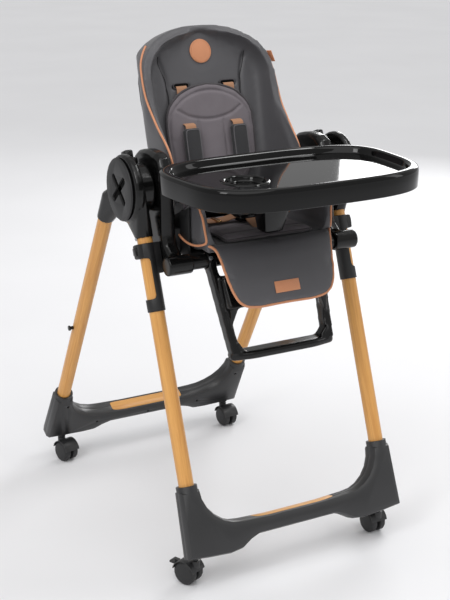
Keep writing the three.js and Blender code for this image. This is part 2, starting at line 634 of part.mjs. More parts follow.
function leg_rest_pad() {
  const side = [
    [-276, 632], [-292, 632], [-310, 612], [-324, 568], [-329, 554], [-315, 554], [-309, 568], [-291, 610],
  ];
  const front = [[-128, 640], [-128, 596], [-94, 553], [94, 553], [128, 596], [128, 640]];
  return side_form(side.map(([y, z]) => v2(y, z)).reverse(), -200, 200)
    .intersect(front_form(rounded(front, 14, 2).reverse(), -400, -200));
}

piece('leg_rest_frame', leg_rest_frame(), gloss_plastic);
piece('leg_rest_pad', leg_rest_pad(), leatherette);

// ---------------------------------------------------------------- tray
const TRAY_Y = (TRAY.front + TRAY.back) / 2;
const TRAY_DEEP = (TRAY.back - TRAY.front) / 2;
const tray_line = (inset) => oblong(0, TRAY_Y, TRAY.half - inset, TRAY_DEEP - inset, 3.5, 44)
  .map((p) => v2(p.x * (1 + TRAY.taper * (p.y - TRAY_Y)), p.y));

function tray_top() {
  const body = plan_form(tray_line(0), TRAY.skirt, TRAY.top, 3, 1);
  const dish = plan_form(tray_line(TRAY.rim), TRAY.floor, TRAY.top + 20);
  const cup = rod_z(CUP.x, CUP.y, TRAY.floor - CUP.depth, TRAY.top, CUP.r, 24);
  const under = plan_form(tray_line(5), TRAY.skirt - 20, TRAY.floor - 4)
    .subtract(rod_z(CUP.x, CUP.y, TRAY.floor - CUP.depth - 3, TRAY.top, CUP.r + 4, 24));
  const notches = both_sides((s) => side_box(s, 176, 196, TRAY_Y, -100, TRAY.skirt - 5, PRONG.top + 1.5));
  return body.subtract(dish).subtract(cup).subtract(under).subtract(notches);
}

function tray_base() {
  const prongs = both_sides((s) =>
    side_box(s, PRONG.inner, PRONG.out, PRONG.front, PRONG.end, PRONG.bottom, PRONG.top));
  const beam = box(-PRONG.out + 2, PRONG.out - 2, -296, -222, PRONG.bottom, PRONG.top - 4);
  // sections of the crotch post, from the tray down: half width, front, back, corner, height
  const sections = [
    [34, -292, -226, 10, PRONG.bottom + 4], [30, -284, -230, 10, 730], [22, -272, -236, 8, 688],
    [16, -267, -241, 6, 684],
  ];
  const post = hull(sections.flatMap(([x, front, back, r, z]) =>
    rounded([[-x, front], [x, front], [x, back], [-x, back]], r, 2).map((p) => v3(p.x, p.y, z))));
  const cup_room = rod_z(CUP.x, CUP.y, 780, 830, CUP.r + 6, 16);
  return join(prongs, beam, post).subtract(cup_room);
}

piece('tray_top', tray_top(), gloss_plastic);
piece('tray_base', tray_base(), gloss_plastic);
piece('tray_release', soft_box(-42, 42, -476, -456, 791, 803, 3, 1), gloss_plastic);

export default chair;
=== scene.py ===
# %% [markdown]
# # Dressing a folding baby high chair
# The engineered model gives every hard part at its true size: tubes, hubs, casters, tray.
# It is loaded first and is never moved. Everything soft, sewn or glossy is made around it
# here, in metres. The child faces -Y, and "left" is the -X side.

# %% Load the engineered frame
import json
import math

import bmesh
import bpy
import numpy as np
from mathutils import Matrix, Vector


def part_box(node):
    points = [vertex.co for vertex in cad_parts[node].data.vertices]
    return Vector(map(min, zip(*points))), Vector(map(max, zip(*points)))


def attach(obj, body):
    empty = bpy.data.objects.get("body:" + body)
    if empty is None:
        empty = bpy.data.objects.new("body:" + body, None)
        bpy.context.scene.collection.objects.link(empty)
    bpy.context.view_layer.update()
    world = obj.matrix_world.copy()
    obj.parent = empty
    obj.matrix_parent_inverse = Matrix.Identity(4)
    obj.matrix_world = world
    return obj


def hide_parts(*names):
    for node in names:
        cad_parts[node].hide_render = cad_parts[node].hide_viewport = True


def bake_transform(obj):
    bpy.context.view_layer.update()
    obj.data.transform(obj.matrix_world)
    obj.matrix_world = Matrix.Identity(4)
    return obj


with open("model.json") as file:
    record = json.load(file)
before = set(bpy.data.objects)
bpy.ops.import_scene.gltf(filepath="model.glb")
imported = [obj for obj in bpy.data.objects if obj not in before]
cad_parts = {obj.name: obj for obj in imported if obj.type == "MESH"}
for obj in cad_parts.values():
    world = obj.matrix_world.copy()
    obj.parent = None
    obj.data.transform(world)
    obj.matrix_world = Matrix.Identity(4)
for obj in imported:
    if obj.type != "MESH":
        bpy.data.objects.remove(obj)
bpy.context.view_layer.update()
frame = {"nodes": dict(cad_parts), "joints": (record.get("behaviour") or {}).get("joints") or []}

MERGE = 0.00002                                       # corners this close are one corner
JOINTS = {joint["name"]: joint for joint in frame["joints"]}
HINGE = Vector(JOINTS["back_recline"]["pos_m"])       # the backrest turns about this line
SHIFT = HINGE.y + 0.012                               # chair middle to model origin, along Y
SIDES = {"left": -1, "right": 1}

# %% [markdown]
# ## Camera and studio
# A product camera stands in front of the chair and to its left, a little above its top, and
# looks down at it. The long lens keeps the legs from splaying.
# The light is a soft white room and a broad sky light from above, which reach the far floor
# evenly. Panels add the highlights: one stands behind the chair, where the glossy tray
# mirrors it. The room itself is kept dim, so that black plastic stays black.

# %% Camera
LENS = 79.58                                          # focal length in millimetres
LOOK_DOWN, LOOK_RIGHT = 18.033, 29.02                 # degrees below level, and towards +X


def placed(name, data):
    """A new object in the scene."""
    made = bpy.data.objects.new(name, data)
    bpy.context.scene.collection.objects.link(made)
    return made


camera_data = bpy.data.cameras.new("camera")
camera_data.lens = LENS
camera = placed("camera", camera_data)
camera.location = (-1.31674, -2.44268 + SHIFT, 1.37044)
camera.rotation_euler = (math.radians(90 - LOOK_DOWN), 0, math.radians(-LOOK_RIGHT))
bpy.context.scene.camera = camera
print("camera stands at", tuple(round(c, 3) for c in camera.location))


# %% Node helper and colours
def linear(hex_colour):
    """An sRGB hex colour as linear RGBA."""
    parts = [int(hex_colour[i:i + 2], 16) / 255 for i in (1, 3, 5)]
    return (*[c / 12.92 if c <= 0.04045 else ((c + 0.055) / 1.055) ** 2.4 for c in parts], 1)


def add(tree, kind, inputs=None, **settings):
    """Adds one node; an input is a value or another node's output."""
    made = tree.nodes.new(kind)
    for setting, value in settings.items():
        setattr(made, setting, value)
    for socket, value in (inputs or {}).items():
        if isinstance(value, bpy.types.NodeSocket):
            tree.links.new(value, made.inputs[socket])
        else:
            made.inputs[socket].default_value = value
    return made


def blank(name):
    """A new material with an empty node tree."""
    material = bpy.data.materials.new(name)
    material.use_nodes = True
    material.node_tree.nodes.clear()
    return material, material.node_tree


def close(tree, shader):
    add(tree, "ShaderNodeOutputMaterial", {"Surface": shader.outputs[0]})


# %% Studio
def panel(name, place, target, width, height, power):
    """A soft light panel that faces a point."""
    light = bpy.data.lights.new(name, "AREA")
    light.shape = "RECTANGLE"
    light.size, light.size_y = width, height
    light.energy = power
    lamp = placed(name, light)
    lamp.location = place
    lamp.rotation_euler = (Vector(target) - Vector(place)).to_track_quat("-Z", "Y").to_euler()


panel("key_panel", (-2.8, -1.4, 2.8), (0, 0, 0.6), 0.9, 1.5, 25)
panel("fill_panel", (3.0, -2.0, 2.0), (0, 0, 0.5), 0.6, 1.8, 7)
panel("rim_strip", (1.25, -0.5, 3.1), (0, -0.35, 0.83), 1.6, 0.25, 15)
panel("tray_panel", (2.85, 2.15, 1.75), (0, -0.3, 0.9), 1.9, 1.1, 48)

sky = bpy.data.lights.new("sky_light", "SUN")
sky.energy = 1.22
sky.angle = math.radians(70)
sky_lamp = placed("sky_light", sky)
sky_lamp.rotation_euler = (math.radians(24), math.radians(-18), 0)

world = bpy.data.worlds.new("room")
world.use_nodes = True
world.node_tree.nodes["Background"].inputs["Color"].default_value = linear("#F3F3F3")
world.node_tree.nodes["Background"].inputs["Strength"].default_value = 0.55
bpy.context.scene.world = world
bpy.context.scene.view_settings.view_transform = "Standard"


def paper():
    material, tree = blank("studio_paper")
    place = add(tree, "ShaderNodeTexCoord")
    cloud = add(tree, "ShaderNodeTexNoise", {"Vector": place.outputs["Object"], "Scale": 1.5})
    tone = add(tree, "ShaderNodeMix", {0: cloud.outputs[0], 6: linear("#E4E4E6"), 7: linear("#ECECEE")},
               data_type="RGBA")
    close(tree, add(tree, "ShaderNodeBsdfPrincipled", {"Base Color": tone.outputs[2], "Roughness": 0.7}))
    return material


bpy.ops.mesh.primitive_plane_add(size=60)
floor = bpy.context.object
floor.name = "studio_floor"
floor.data.materials.append(paper())
print("studio lights", len(bpy.data.lights))

# %% [markdown]
# ## Finishes
# Each finish is named for what it is. Moulded plastics differ in the tooling that made them:
# a polished tool gives a gloss, a spark-eroded one gives a fine matte grit. The grain is drawn
# about twice its real size, because the real one is too fine to show.


# %% Moulded plastics
def moulded(name, colour, roughness, grit_mm, depth_mm, ior=1.5):
    """Injection-moulded nylon or ABS: grit from the tool, and faint flow marks in the tone."""
    material, tree = blank(name)
    place = add(tree, "ShaderNodeTexCoord")
    flow = add(tree, "ShaderNodeTexNoise", {"Vector": place.outputs["Object"], "Scale": 14, "Detail": 4})
    dark = tuple(c * 0.82 for c in linear(colour)[:3]) + (1,)
    tone = add(tree, "ShaderNodeMix", {0: flow.outputs[0], 6: dark, 7: linear(colour)}, data_type="RGBA")
    gloss = add(tree, "ShaderNodeMapRange",
                {"Value": flow.outputs[0], "To Min": roughness * 0.85, "To Max": roughness * 1.15})
    grit = add(tree, "ShaderNodeTexNoise",
               {"Vector": place.outputs["Object"], "Scale": 1000 / grit_mm, "Detail": 2})
    bump = add(tree, "ShaderNodeBump",
               {"Height": grit.outputs[0], "Distance": depth_mm / 1000, "Strength": 0.6})
    close(tree, add(tree, "ShaderNodeBsdfPrincipled", {
        "Base Color": tone.outputs[2], "Roughness": gloss.outputs[0], "IOR": ior,
        "Normal": bump.outputs[0]}))
    return material


# spark-eroded polypropylene of the floor bases: satin, dark grey
eroded_plastic = moulded("eroded_polypropylene", "#2E2E2F", 0.4, 1.6, 0.05)
# fine-textured ABS of covers, sliders and shells: matt, a little darker
textured_abs = moulded("textured_abs", "#1B1B1C", 0.48, 1.3, 0.05)
# tool-polished ABS of hubs and brackets: black with clear highlights
polished_abs = moulded("polished_abs", "#0D0D0D", 0.2, 3.0, 0.015, ior=1.42)
# high-gloss ABS of the tray: mirrors the room
piano_abs = moulded("piano_gloss_abs", "#050505", 0.05, 6.0, 0.003, ior=1.38)
# nylon of the caster hoods, and the softer tread of their wheels
caster_nylon = moulded("caster_nylon", "#2C2C2D", 0.4, 1.5, 0.04)
tread = moulded("polyurethane_tread", "#222223", 0.55, 1.2, 0.05)
# near-black plastic sheet: painted shade at the bottom of deep holes and inside slot openings
painted_hole_shade = moulded("painted_hole_shade", "#030303", 0.8, 2.0, 0.02, ior=1.2)


# %% [markdown]
# The leg tubes are steel with a printed wood film under lacquer. An image would give the print,
# but noise stretched along the grain needs no picture: broad bands, and fine fibres over them.

# %% Wood film
def wood_film(name, lean=0.0, grain="Z"):
    """Printed wood film on a tube: long fibres along the grain, broad bands, a satin lacquer."""
    material, tree = blank(name)
    place = add(tree, "ShaderNodeTexCoord")
    size = {"Z": (0.006, 0.006, 0.16), "X": (0.16, 0.006, 0.006)}[grain]
    along = add(tree, "ShaderNodeMapping", {
        "Vector": place.outputs["Object"], "Rotation": (math.radians(lean), 0, 0), "Scale": size},
        vector_type="TEXTURE")
    bands = add(tree, "ShaderNodeTexNoise",
                {"Vector": along.outputs[0], "Scale": 0.9, "Detail": 3, "Distortion": 0.8})
    fibres = add(tree, "ShaderNodeTexNoise",
                 {"Vector": along.outputs[0], "Scale": 5.0, "Detail": 5, "Roughness": 0.7})
    broad = add(tree, "ShaderNodeValToRGB", {0: bands.outputs[0]})
    broad.color_ramp.elements[0].position, broad.color_ramp.elements[1].position = 0.32, 0.68
    broad.color_ramp.elements[0].color = linear("#CE9149")
    broad.color_ramp.elements[1].color = linear("#E5AB5F")
    fine = add(tree, "ShaderNodeMapRange", {"Value": fibres.outputs[0], "From Min": 0.35,
                                            "From Max": 0.65, "To Min": 0.0, "To Max": 0.26})
    tone = add(tree, "ShaderNodeMix", {0: fine.outputs[0], 6: broad.outputs[0], 7: linear("#B47A37")},
               data_type="RGBA")
    bump = add(tree, "ShaderNodeBump",
               {"Height": fibres.outputs[0], "Distance": 0.00015, "Strength": 0.35})
    close(tree, add(tree, "ShaderNodeBsdfPrincipled", {
        "Base Color": tone.outputs[2], "Roughness": 0.42, "IOR": 1.5,
        "Coat Weight": 0.25, "Coat Roughness": 0.2, "Normal": bump.outputs[0]}))
    return material


film_front = wood_film("wood_film_front_legs", lean=-20)
film_rear = wood_film("wood_film_rear_legs", lean=29.3)
film_strip = wood_film("wood_film_strips", grain="X")


# %% [markdown]
# The covers are polyurethane leatherette: cloth with a coating that is embossed with pebbles.
# The inlay and harness are true weaves, made here of two crossed sets of ridges.

# %% Coated fabric, woven fabric and webbing
def coated(name, colour, roughness, grain_mm=1.8, depth_mm=0.12):
    """Polyurethane leatherette: embossed pebble grain over a soft, slightly uneven tone."""
    material, tree = blank(name)
    place = add(tree, "ShaderNodeTexCoord")
    mottle = add(tree, "ShaderNodeTexNoise", {"Vector": place.outputs["Object"], "Scale": 22, "Detail": 3})
    dark = tuple(c * 0.86 for c in linear(colour)[:3]) + (1,)
    tone = add(tree, "ShaderNodeMix", {0: mottle.outputs[0], 6: dark, 7: linear(colour)}, data_type="RGBA")
    pebble = add(tree, "ShaderNodeTexVoronoi",
                 {"Vector": place.outputs["Object"], "Scale": 1000 / grain_mm, "Randomness": 0.9},
                 feature="DISTANCE_TO_EDGE")
    soft = add(tree, "ShaderNodeMapRange", {"Value": pebble.outputs[0], "From Max": 0.25})
    bump = add(tree, "ShaderNodeBump",
               {"Height": soft.outputs[0], "Distance": depth_mm / 1000, "Strength": 0.45})
    close(tree, add(tree, "ShaderNodeBsdfPrincipled", {
        "Base Color": tone.outputs[2], "Roughness": roughness, "IOR": 1.48,
        "Sheen Weight": 0.12, "Sheen Roughness": 0.5, "Normal": bump.outputs[0]}))
    return material


def woven(name, colour, thread_mm, coords="Object", sheen=0.25):
    """Plain weave: two crossed sets of ridges at the thread spacing."""
    material, tree = blank(name)
    place = add(tree, "ShaderNodeTexCoord")
    ridges = []
    for direction in ("X", "Z" if coords == "Object" else "Y"):
        ridges.append(add(tree, "ShaderNodeTexWave", {
            "Vector": place.outputs[coords], "Scale": 314 / thread_mm, "Distortion": 0.6,
            "Detail": 1.0, "Detail Scale": 2.0}, bands_direction=direction))
    weave = add(tree, "ShaderNodeMath", {0: ridges[0].outputs["Fac"], 1: ridges[1].outputs["Fac"]},
                operation="MULTIPLY")
    mottle = add(tree, "ShaderNodeTexNoise", {"Vector": place.outputs["Object"], "Scale": 40, "Detail": 4})
    lift = add(tree, "ShaderNodeMath", {0: weave.outputs[0], 1: mottle.outputs[0]}, operation="ADD")
    share = add(tree, "ShaderNodeMath", {0: lift.outputs[0], 1: 0.5}, operation="MULTIPLY")
    dark = tuple(c * 0.68 for c in linear(colour)[:3]) + (1,)
    tone = add(tree, "ShaderNodeMix", {0: share.outputs[0], 6: dark, 7: linear(colour)}, data_type="RGBA")
    bump = add(tree, "ShaderNodeBump", {"Height": weave.outputs[0], "Distance": 0.0002, "Strength": 0.5})
    close(tree, add(tree, "ShaderNodeBsdfPrincipled", {
        "Base Color": tone.outputs[2], "Roughness": 0.85, "IOR": 1.45,
        "Sheen Weight": sheen, "Sheen Roughness": 0.4, "Normal": bump.outputs[0]}))
    return material


# seat, back and leg rest: dark grey leatherette, a satin wipe-clean surface
leatherette = coated("grey_leatherette", "#555457", 0.44)
# piping, badges and tag: copper-tan leatherette
copper_trim = coated("copper_leatherette", "#D79269", 0.5, grain_mm=1.2, depth_mm=0.06)
# quilted inlay: grey melange polyester; its edge binding is a little darker
melange = woven("grey_melange", "#7F787D", 1.6)
binding_cloth = woven("binding_cloth", "#4E4A4D", 1.2)
# thread drawn dark along a seam: partly the seam's thread, partly painted shade of its crease
seam_shade_thread = woven("painted_seam_shade", "#2E2D2F", 0.8, sheen=0.0)
# harness: copper-beige webbing, and charcoal sleeves over the shoulders
copper_webbing = woven("copper_webbing", "#BC8C6B", 1.4, coords="UV", sheen=0.1)
sleeve_cloth = woven("charcoal_knit", "#39393B", 1.8, sheen=0.3)
sleeve_edge = woven("sleeve_edging", "#6A686B", 1.0, sheen=0.2)


# %% [markdown]
# Two small metals close the list: zinc-plated steel for pins and screws, and a brass-toned
# slide on the harness. Both are plain metal; fine noise stands for the marks of the tool.

# %% Metal
def metal(name, colour, roughness):
    """Plain metal with fine, irregular tool marks in its gloss and height."""
    material, tree = blank(name)
    place = add(tree, "ShaderNodeTexCoord")
    marks = add(tree, "ShaderNodeTexNoise", {"Vector": place.outputs["Object"], "Scale": 900, "Detail": 2})
    spread = add(tree, "ShaderNodeMapRange",
                 {"Value": marks.outputs[0], "To Min": roughness * 0.7, "To Max": roughness * 1.3})
    bump = add(tree, "ShaderNodeBump", {"Height": marks.outputs[0], "Distance": 0.00003, "Strength": 0.4})
    close(tree, add(tree, "ShaderNodeBsdfPrincipled", {
        "Base Color": linear(colour), "Metallic": 1.0, "Roughness": spread.outputs[0],
        "Normal": bump.outputs[0]}))
    return material


zinc_steel = metal("zinc_plated_steel", "#B9BBBE", 0.28)
brass_slide = metal("brass_strap_slide", "#C79A6A", 0.25)
print("finishes", len(bpy.data.materials))

# %% [markdown]
# ## The hard parts
# The engineered parts have the right shape, so they only need their finish and the small
# radius that every moulding has. A live Bevel modifier gives the radius, after Weld has
# joined the loose triangles and Decimate has cleared flat faces of needless edges.


# %% Dress the engineered parts
def dress(nodes, finish, radius_mm=0.7, crease=34):
    for name in nodes:
        part = frame["nodes"][name]
        part.data.materials.clear()
        part.data.materials.append(finish)
        part.data.polygons.foreach_set("use_smooth", [True] * len(part.data.polygons))
        weld = part.modifiers.new("join", "WELD")
        weld.merge_threshold = MERGE
        flat = part.modifiers.new("tidy", "DECIMATE")
        flat.decimate_type = "DISSOLVE"
        flat.angle_limit = math.radians(0.8)
        if radius_mm:
            edge = part.modifiers.new("radius", "BEVEL")
            edge.width = radius_mm / 1000
            edge.segments = 2
            edge.limit_method = "ANGLE"
            edge.angle_limit = math.radians(crease)
        split = part.modifiers.new("facets", "EDGE_SPLIT")
        split.split_angle = math.radians(crease)


def both(*names):
    return [f"{name}_{side}" for name in names for side in SIDES]


CORNERS = [f"{end}_{side}" for end in ("front", "rear") for side in SIDES]
dress(both("front_leg"), film_front, 0)
dress(both("rear_leg"), film_rear, 0)
dress(["front_base_inlay", "rear_base_inlay"], film_strip, 0.4)
dress([f"{end}_base_shell_{half}" for end in ("front", "rear") for half in ("front", "back")],
      eroded_plastic, 0.6)
dress(both("hub_cover", "slider") + ["seat_shell", "back_shell"], textured_abs)
dress(both("hub_socket", "rear_socket", "tray_peg", "fold_button", "height_button", "arm_bracket")
      + ["cross_tube", "leg_rest_frame", "tray_base", "tray_release", "recline_handle",
         "harness_buckle", "buckle_button"], polished_abs, 0.9)
dress(both("hub_pin"), zinc_steel, 0.4)
dress([f"caster_hood_{corner}" for corner in CORNERS] + both("brake_lever"), caster_nylon, 0.5)
dress([f"caster_wheels_{corner}" for corner in CORNERS], tread, 0.8)
print("hard parts dressed", len(frame["nodes"]))

# %% [markdown]
# ## Tools for sewn work
# Padded pieces start from the plain solid that holds their place. A voxel remesh gives an even
# skin, a short cloth simulation with air pressure crowns it, and the movement is capped so
# it stays in its place. Seams are pressed in afterwards, because remeshing would erase them.


# %% Small helpers
def pick(piece):
    bpy.ops.object.select_all(action="DESELECT")
    piece.select_set(True)
    bpy.context.view_layer.objects.active = piece


def points_of(piece):
    flat = np.zeros(len(piece.data.vertices) * 3)
    piece.data.vertices.foreach_get("co", flat)
    return flat.reshape(-1, 3)


def move_points(piece, points):
    piece.data.vertices.foreach_set("co", points.ravel())
    piece.data.update()


def normals_of(piece):
    flat = np.zeros(len(piece.data.vertices) * 3)
    piece.data.vertex_normals.foreach_get("vector", flat)
    return flat.reshape(-1, 3)


def apply_all(piece):
    pick(piece)
    for modifier in list(piece.modifiers):
        bpy.ops.object.modifier_apply(modifier=modifier.name)


def finished(piece, name, finish, body, crease=40):
    """Applies what is live, gives the finish and hangs the piece on its body."""
    apply_all(piece)
    bpy.ops.object.transform_apply(location=True, rotation=True, scale=True)
    piece.name = name
    piece.data.name = name
    piece.data.materials.clear()
    piece.data.materials.append(finish)
    bpy.ops.object.shade_smooth_by_angle(angle=math.radians(crease))
    if body:
        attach(piece, body)
    return piece


def copy_of(node):
    """A merged, modifier-free copy of an engineered part."""
    source = frame["nodes"][node]
    piece = placed(node + "_copy", source.data.copy())
    pick(piece)
    bpy.ops.object.mode_set(mode="EDIT")
    bpy.ops.mesh.select_all(action="SELECT")
    bpy.ops.mesh.remove_doubles(threshold=MERGE)
    bpy.ops.mesh.normals_make_consistent(inside=False)
    bpy.ops.object.mode_set(mode="OBJECT")
    return piece


# %% [markdown]
# ### Padding
# Foam under a tight cover swells a few millimetres between its edges. Sculpting would do it,
# but air pressure in a short cloth simulation finds the same crown by itself. The cap keeps
# the piece inside the room that its solid holds, and `press` then sinks seams into the skin.

# %% Padding
FILL_FRAMES = 20


def soften(piece, voxel, shrink, cap, pressure=4.0, smooth=8, levels=1):
    """Remesh, inflate with cloth, cap the movement, smooth and subdivide."""
    skin = piece.modifiers.new("skin", "REMESH")
    skin.mode = "VOXEL"
    skin.voxel_size = voxel
    draw_in = piece.modifiers.new("draw_in", "DISPLACE")
    draw_in.mid_level = 0
    draw_in.strength = -shrink
    ease = piece.modifiers.new("ease", "SMOOTH")
    ease.iterations = smooth
    apply_all(piece)
    start = points_of(piece)
    fill = piece.modifiers.new("fill", "CLOTH")
    fill.settings.use_pressure = True
    fill.settings.uniform_pressure_force = pressure
    fill.settings.effector_weights.gravity = 0
    fill.settings.quality = 4
    fill.point_cache.frame_start, fill.point_cache.frame_end = 1, FILL_FRAMES
    for moment in range(1, FILL_FRAMES + 1):
        bpy.context.scene.frame_set(moment)
    blown = piece.evaluated_get(bpy.context.evaluated_depsgraph_get())
    moved = points_of(blown) - start
    length = np.linalg.norm(moved, axis=1, keepdims=True)
    moved *= np.minimum(1, cap / np.maximum(length, 1e-9))
    piece.modifiers.remove(fill)
    bpy.context.scene.frame_set(1)
    move_points(piece, start + moved)
    even = piece.modifiers.new("even", "SMOOTH")
    even.iterations = 3
    finer = piece.modifiers.new("finer", "SUBSURF")
    finer.levels = finer.render_levels = levels
    apply_all(piece)
    return piece


def press(piece, line, width, depth, reach=None):
    """Presses a seam along a line of points into a padded piece."""
    points, normals = points_of(piece), normals_of(piece)
    nearest = np.full(len(points), 9.0)
    line = np.array([tuple(p) for p in line])
    for a, b in zip(line[:-1], line[1:]):
        step = b - a
        t = np.clip((points - a) @ step / max(step @ step, 1e-12), 0, 1)
        nearest = np.minimum(nearest, np.linalg.norm(points - a - t[:, None] * step, axis=1))
    sink = depth * np.exp(-(nearest / width) ** 2)
    if reach is not None:
        sink *= (normals @ np.array(reach)) > 0.2
    move_points(piece, points - normals * sink[:, None])


# %% [markdown]
# ### Piping, webbing and stitches
# Piping is a cord sewn into a seam, so it is a round tube that follows a surface. Webbing is
# a flat woven band, so it is a strip with its own length and width as a UV map. Stitches are
# short bars of thread, modelled once and laid along a line.

# %% Lines, tubes, ribbons
PIPING_R, BINDING_R = 0.0024, 0.0026
WEBBING = 0.024                                       # width of shoulder and crotch straps


def flow(points, count):
    """A smooth line through given points (Catmull-Rom)."""
    knots = [Vector(p) for p in points]
    knots = [2 * knots[0] - knots[1], *knots, 2 * knots[-1] - knots[-2]]
    spans = len(knots) - 3
    line = []
    for i in range(count):
        place = spans * i / (count - 1)
        k = min(int(place), spans - 1)
        t = place - k
        a, b, c, d = knots[k:k + 4]
        line.append(0.5 * (2 * b + (c - a) * t + (2 * a - 5 * b + 4 * c - d) * t * t
                           + (3 * b - a - 3 * c + d) * t ** 3))
    return line


def eased(line, rounds):
    """The same line with small kinks averaged out; its ends stay."""
    for _ in range(rounds):
        inner = [(a + 2 * b + c) / 4 for a, b, c in zip(line[:-2], line[1:-1], line[2:])]
        line = [line[0], *inner, line[-1]]
    return line


def snapped(line, surface, lift, rounds=2):
    """The same line laid on a surface, lifted off it a little."""
    laid = []
    for point in line:
        _, spot, normal, _ = surface.closest_point_on_mesh(point)
        laid.append(spot + normal * lift)
    return eased(laid, rounds)


def tube(name, line, radius, finish, body, closed=False):
    """A round tube along a line: piping, a bound edge or a seam thread."""
    curve = bpy.data.curves.new(name, "CURVE")
    curve.dimensions = "3D"
    curve.bevel_depth = radius
    curve.bevel_resolution = 3
    curve.use_fill_caps = True
    spline = curve.splines.new("POLY")
    spline.points.add(len(line) - 1)
    for knot, point in zip(spline.points, line):
        knot.co = (*point, 1)
    spline.use_cyclic_u = closed
    piece = placed(name, curve)
    pick(piece)
    bpy.ops.object.convert(target="MESH")
    return finished(bpy.context.object, name, finish, body, 60)


def oblong(angle, half_wide, half_high, power_wide, power_high):
    """A point on a rounded oblong; the smaller a power, the squarer the corners."""
    c, s = math.cos(angle), math.sin(angle)
    return (half_wide * math.copysign(abs(c) ** power_wide, c),
            half_high * math.copysign(abs(s) ** power_high, s))


def ribbon(name, line, across, width, finish, body, thick=0.0016):
    """Flat webbing along a line, with its length and width in metres as its UV map."""
    mesh = bpy.data.meshes.new(name)
    half = Vector(across).normalized() * width / 2
    corners = [p + half * s for p in line for s in (-1, 0, 1)]
    rows = len(line)
    starts = [3 * i + j for i in range(rows - 1) for j in (0, 1)]
    faces = [(k, k + 1, k + 4, k + 3) for k in starts]
    mesh.from_pydata([tuple(c) for c in corners], [], faces)
    run = [0.0]
    for a, b in zip(line[:-1], line[1:]):
        run.append(run[-1] + (b - a).length)
    layer = mesh.uv_layers.new(name="UVMap")
    for loop in mesh.loops:
        i, j = divmod(loop.vertex_index, 3)
        layer.data[loop.index].uv = (j * width / 2, run[i])
    piece = placed(name, mesh)
    body_of_it = piece.modifiers.new("thickness", "SOLIDIFY")
    body_of_it.thickness = thick
    body_of_it.offset = 0
    return finished(piece, name, finish, body)


def stitched(name, line, normals_from, body, finish, length=0.0042, gap=0.0026, radius=0.00055):
    """A row of thread stitches laid along a line on a surface."""
    total = [0.0]
    for a, b in zip(line[:-1], line[1:]):
        total.append(total[-1] + (b - a).length)
    bpy.ops.object.select_all(action="DESELECT")
    bpy.ops.mesh.primitive_cylinder_add(vertices=6, radius=radius, depth=length)
    one = bpy.context.object
    bpy.ops.object.mode_set(mode="EDIT")
    bpy.ops.mesh.select_all(action="SELECT")
    bpy.ops.mesh.bevel(offset=radius * 0.7, segments=1)
    bpy.ops.object.mode_set(mode="OBJECT")
    shape = points_of(one)
    outline = [tuple(face.vertices) for face in one.data.polygons]
    places, faces = [], []
    for k in range(int(total[-1] / (length + gap))):
        along = (k + 0.5) * (length + gap)
        i = max(j for j in range(len(total) - 1) if total[j] <= along)
        step = line[i + 1] - line[i]
        spot = line[i] + step * ((along - total[i]) / max(step.length, 1e-9))
        _, ground, normal, _ = normals_from.closest_point_on_mesh(spot)
        turn = step.to_track_quat("Z", "Y").to_matrix()
        base = len(places)
        places += [tuple(turn @ Vector(p) + ground + normal * radius * 0.4) for p in shape]
        faces += [tuple(base + v for v in face) for face in outline]
    bpy.data.objects.remove(one)
    mesh = bpy.data.meshes.new(name)
    mesh.from_pydata(places, [], faces)
    piece = placed(name, mesh)
    return finished(piece, name, finish, body)


# %% [markdown]
# ### Blocks and discs
# Badges, tags, slides and screw heads are all small plates with rounded edges. Each starts as
# a primitive at its size, and a bevel takes the sharpness off.

# %% Rounded blocks and discs
def rounded_edges(piece, radius, segments=3):
    bpy.ops.object.mode_set(mode="EDIT")
    bpy.ops.mesh.select_all(action="SELECT")
    bpy.ops.mesh.bevel(offset=radius, segments=segments)
    bpy.ops.object.mode_set(mode="OBJECT")
    return piece


def block(size, radius, segments=3):
    """A block of the given size with its edges rounded over."""
    bpy.ops.object.select_all(action="DESELECT")
    bpy.ops.mesh.primitive_cube_add(size=1)
    bpy.context.object.scale = size
    bpy.ops.object.transform_apply(scale=True)
    return rounded_edges(bpy.context.object, radius, segments)


def disc(radius, thick, edge, corners=48):
    """A round plate with rounded edges, facing up."""
    bpy.ops.object.select_all(action="DESELECT")
    bpy.ops.mesh.primitive_cylinder_add(vertices=corners, radius=radius, depth=thick)
    return rounded_edges(bpy.context.object, edge)


def joined(pieces):
    bpy.ops.object.select_all(action="DESELECT")
    for piece in pieces:
        piece.select_set(True)
    bpy.context.view_layer.objects.active = pieces[0]
    bpy.ops.object.join()
    return bpy.context.object


# %% [markdown]
# ## Flowing mouldings
# Hub heads, leg sockets, side brackets and the footrest loop flow from one form into the next
# with wide fillets. A bevel can't follow such joins, so each is remeshed finely from its
# engineered solid and eased a little, as a pattern maker sands a wooden pattern.


# %% Remesh and ease
def moulding(node, body, voxel, rounds):
    piece = copy_of(node)
    skin = piece.modifiers.new("skin", "REMESH")
    skin.mode = "VOXEL"
    skin.voxel_size = voxel
    sanding = piece.modifiers.new("sanding", "SMOOTH")
    sanding.iterations = rounds
    finished(piece, f"{node}_moulding", polished_abs, body, 180)
    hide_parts(node)
    print(piece.name, len(piece.data.polygons))


for name in SIDES:
    moulding(f"hub_socket_{name}", "frame", 0.0016, 5)
    moulding(f"rear_socket_{name}", "rear_frame", 0.0016, 5)
    moulding(f"arm_bracket_{name}", "seat", 0.0022, 6)
moulding("leg_rest_frame", "leg_rest", 0.0021, 14)
